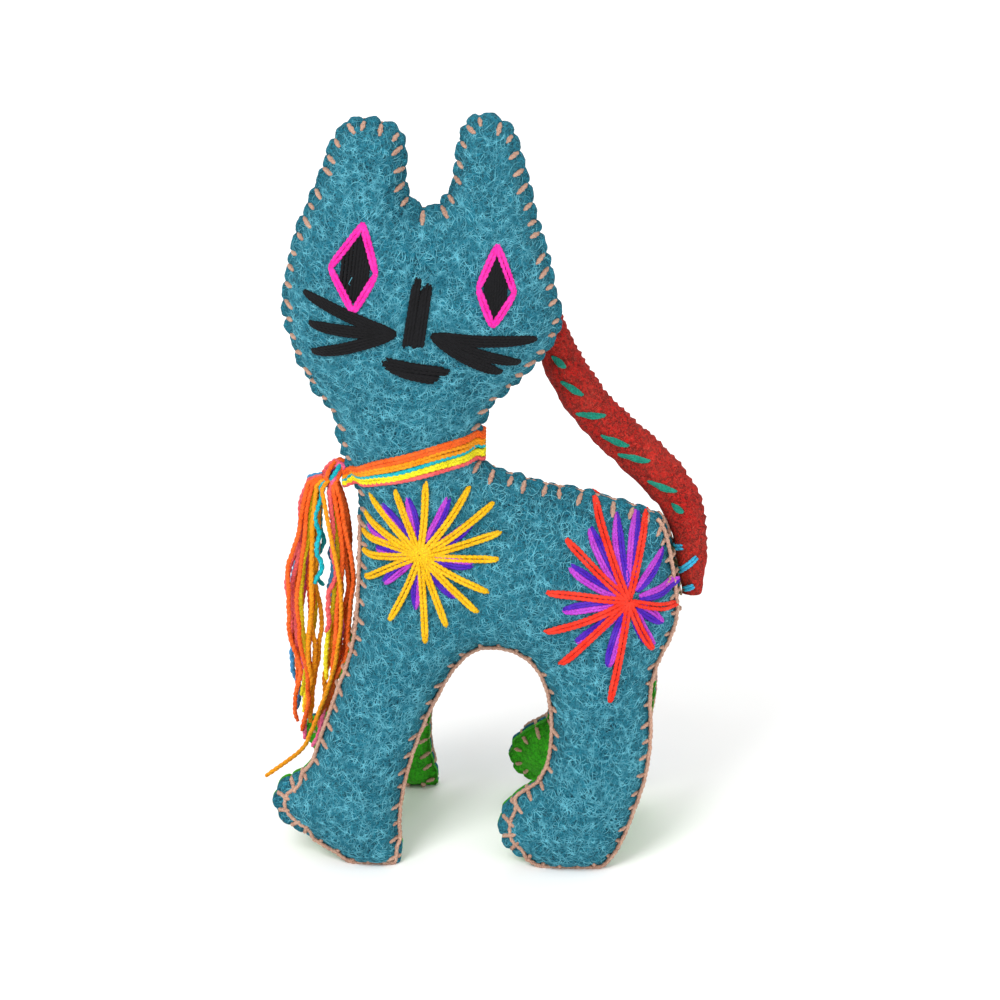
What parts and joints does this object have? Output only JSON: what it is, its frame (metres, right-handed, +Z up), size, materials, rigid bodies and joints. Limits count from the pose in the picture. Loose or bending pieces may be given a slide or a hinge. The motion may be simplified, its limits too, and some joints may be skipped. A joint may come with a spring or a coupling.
{
  "type": "stuffed felt animal figure",
  "caption": "Stuffed wool-felt cat figure on four legs, with embroidered face and flowers, a swinging felt tail and a yarn scarf with a hanging tassel.",
  "frame": {"origin": "middle of the figure's bounding box, within 1 mm, at the level of the soles, tassel left out", "axes": "+Z up, longest; +X towards the rump and tail, so the chest faces -X; -Y is the near side, which carries the face"},
  "size_m": [0.1177, 0.0682, 0.2007],
  "materials": {
    "teal_felt": "hairy handwoven wool felt",
    "green_felt": "wool felt",
    "stuffing": "loose fibre",
    "beige_thread": "twisted embroidery yarn",
    "red_felt": "ribbed wool felt",
    "red_wool_core": "rolled wool",
    "teal_green_thread": "twisted embroidery yarn",
    "sky_blue_thread": "twisted embroidery yarn",
    "pink_yarn": "twisted embroidery yarn",
    "black_yarn": "twisted embroidery yarn",
    "yellow_yarn": "twisted embroidery yarn",
    "violet_yarn": "twisted embroidery yarn",
    "indigo_yarn": "twisted embroidery yarn",
    "red_yarn": "twisted embroidery yarn",
    "orange_yarn": "twisted embroidery yarn",
    "amber_yarn": "twisted embroidery yarn",
    "turquoise_yarn": "twisted embroidery yarn",
    "lemon_yarn": "twisted embroidery yarn",
    "coral_yarn": "twisted embroidery yarn",
    "rose_yarn": "twisted embroidery yarn",
    "blue_yarn": "twisted embroidery yarn"
  },
  "bodies": {
    "figure": {"near_side_panel": "teal_felt", "far_side_panel": "teal_felt", "belly_gusset": "green_felt", "head_stuffing": "stuffing", "torso_stuffing": "stuffing", "leg_stuffing": "stuffing", "head_and_back_seam_thread": "beige_thread", "near_leg_seam_thread": "beige_thread", "far_leg_seam_thread": "beige_thread", "left_eye_outline": "pink_yarn", "left_pupil": "black_yarn", "right_eye_outline": "pink_yarn", "right_pupil": "black_yarn", "nose_stitches": "black_yarn", "mouth_stitches": "black_yarn", "left_whiskers": "black_yarn", "right_whiskers": "black_yarn", "near_front_flower_yellow": "yellow_yarn", "near_front_flower_violet": "violet_yarn", "near_front_flower_indigo": "indigo_yarn", "near_rear_flower_red": "red_yarn", "near_rear_flower_violet": "violet_yarn", "near_rear_flower_indigo": "indigo_yarn", "far_front_flower_yellow": "yellow_yarn", "far_front_flower_violet": "violet_yarn", "far_front_flower_indigo": "indigo_yarn", "far_rear_flower_red": "red_yarn", "far_rear_flower_violet": "violet_yarn", "far_rear_flower_indigo": "indigo_yarn", "scarf_orange": "orange_yarn", "scarf_amber": "amber_yarn", "scarf_turquoise": "turquoise_yarn", "scarf_yellow": "lemon_yarn", "scarf_coral": "coral_yarn", "scarf_knot": "coral_yarn"},
    "tail": {"tail_sleeve": "red_felt", "tail_core": "red_wool_core", "tail_whip_stitches": "teal_green_thread", "tail_root_stitches": "sky_blue_thread"},
    "tassel": {"tassel_turquoise": "turquoise_yarn", "tassel_amber": "amber_yarn", "tassel_orange": "orange_yarn", "tassel_coral": "coral_yarn", "tassel_yellow": "lemon_yarn", "tassel_pink": "rose_yarn", "tassel_blue": "blue_yarn"}
  },
  "joints": [
    {"name": "tail_swing", "type": "hinge", "parent": "figure", "child": "tail", "pos_m": [0.0534, 0.0015, 0.066], "axis": [0, 0, -1], "range_deg": [0, 30], "stiffness_Nm_per_rad": 0.004},
    {"name": "tassel_swing", "type": "hinge", "parent": "figure", "child": "tassel", "pos_m": [-0.0416, 0, 0.101], "axis": [0, 1, 0], "range_deg": [0, 60]}
  ]
}
